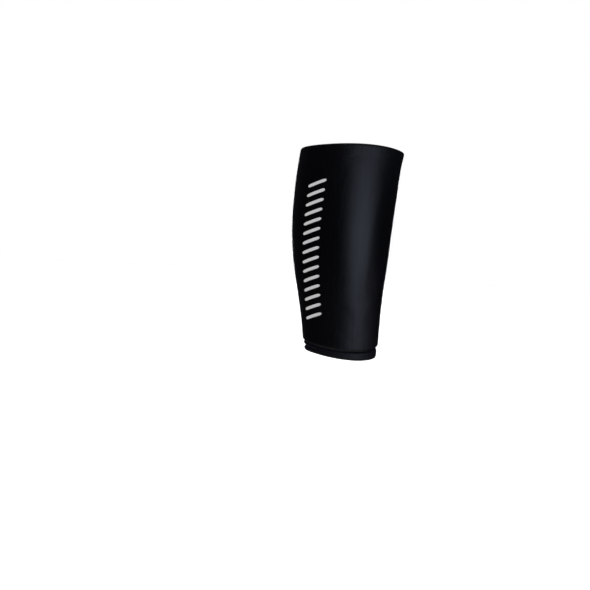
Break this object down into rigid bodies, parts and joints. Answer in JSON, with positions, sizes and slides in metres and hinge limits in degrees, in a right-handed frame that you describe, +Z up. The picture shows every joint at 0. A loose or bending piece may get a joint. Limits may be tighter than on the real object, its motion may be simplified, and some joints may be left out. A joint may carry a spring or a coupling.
{
  "type": "calf cooling sleeve",
  "caption": "Gel-padded stretch sleeve shaped to the calf, open from end to end, with soft rounded rims and a turned-out lining cuff below; it is chilled and pulled on to cool the leg.",
  "frame": {"origin": "on the limb's axis, in the middle of the lower opening at the cuff's edge", "axes": "+Z up the limb from ankle to knee, +X to the shin, -Y the outer side of the leg, which the picture shows"},
  "size_m": [0.1355, 0.1238, 0.2639],
  "materials": {
    "outer_cloth": "black nylon and elastane warp knit, satin",
    "lining_cloth": "black nylon and elastane lining knit, soft satin"
  },
  "bodies": {
    "root": {"gel_sleeve": "outer_cloth", "lining_cuff": "lining_cloth"}
  },
  "joints": []
}
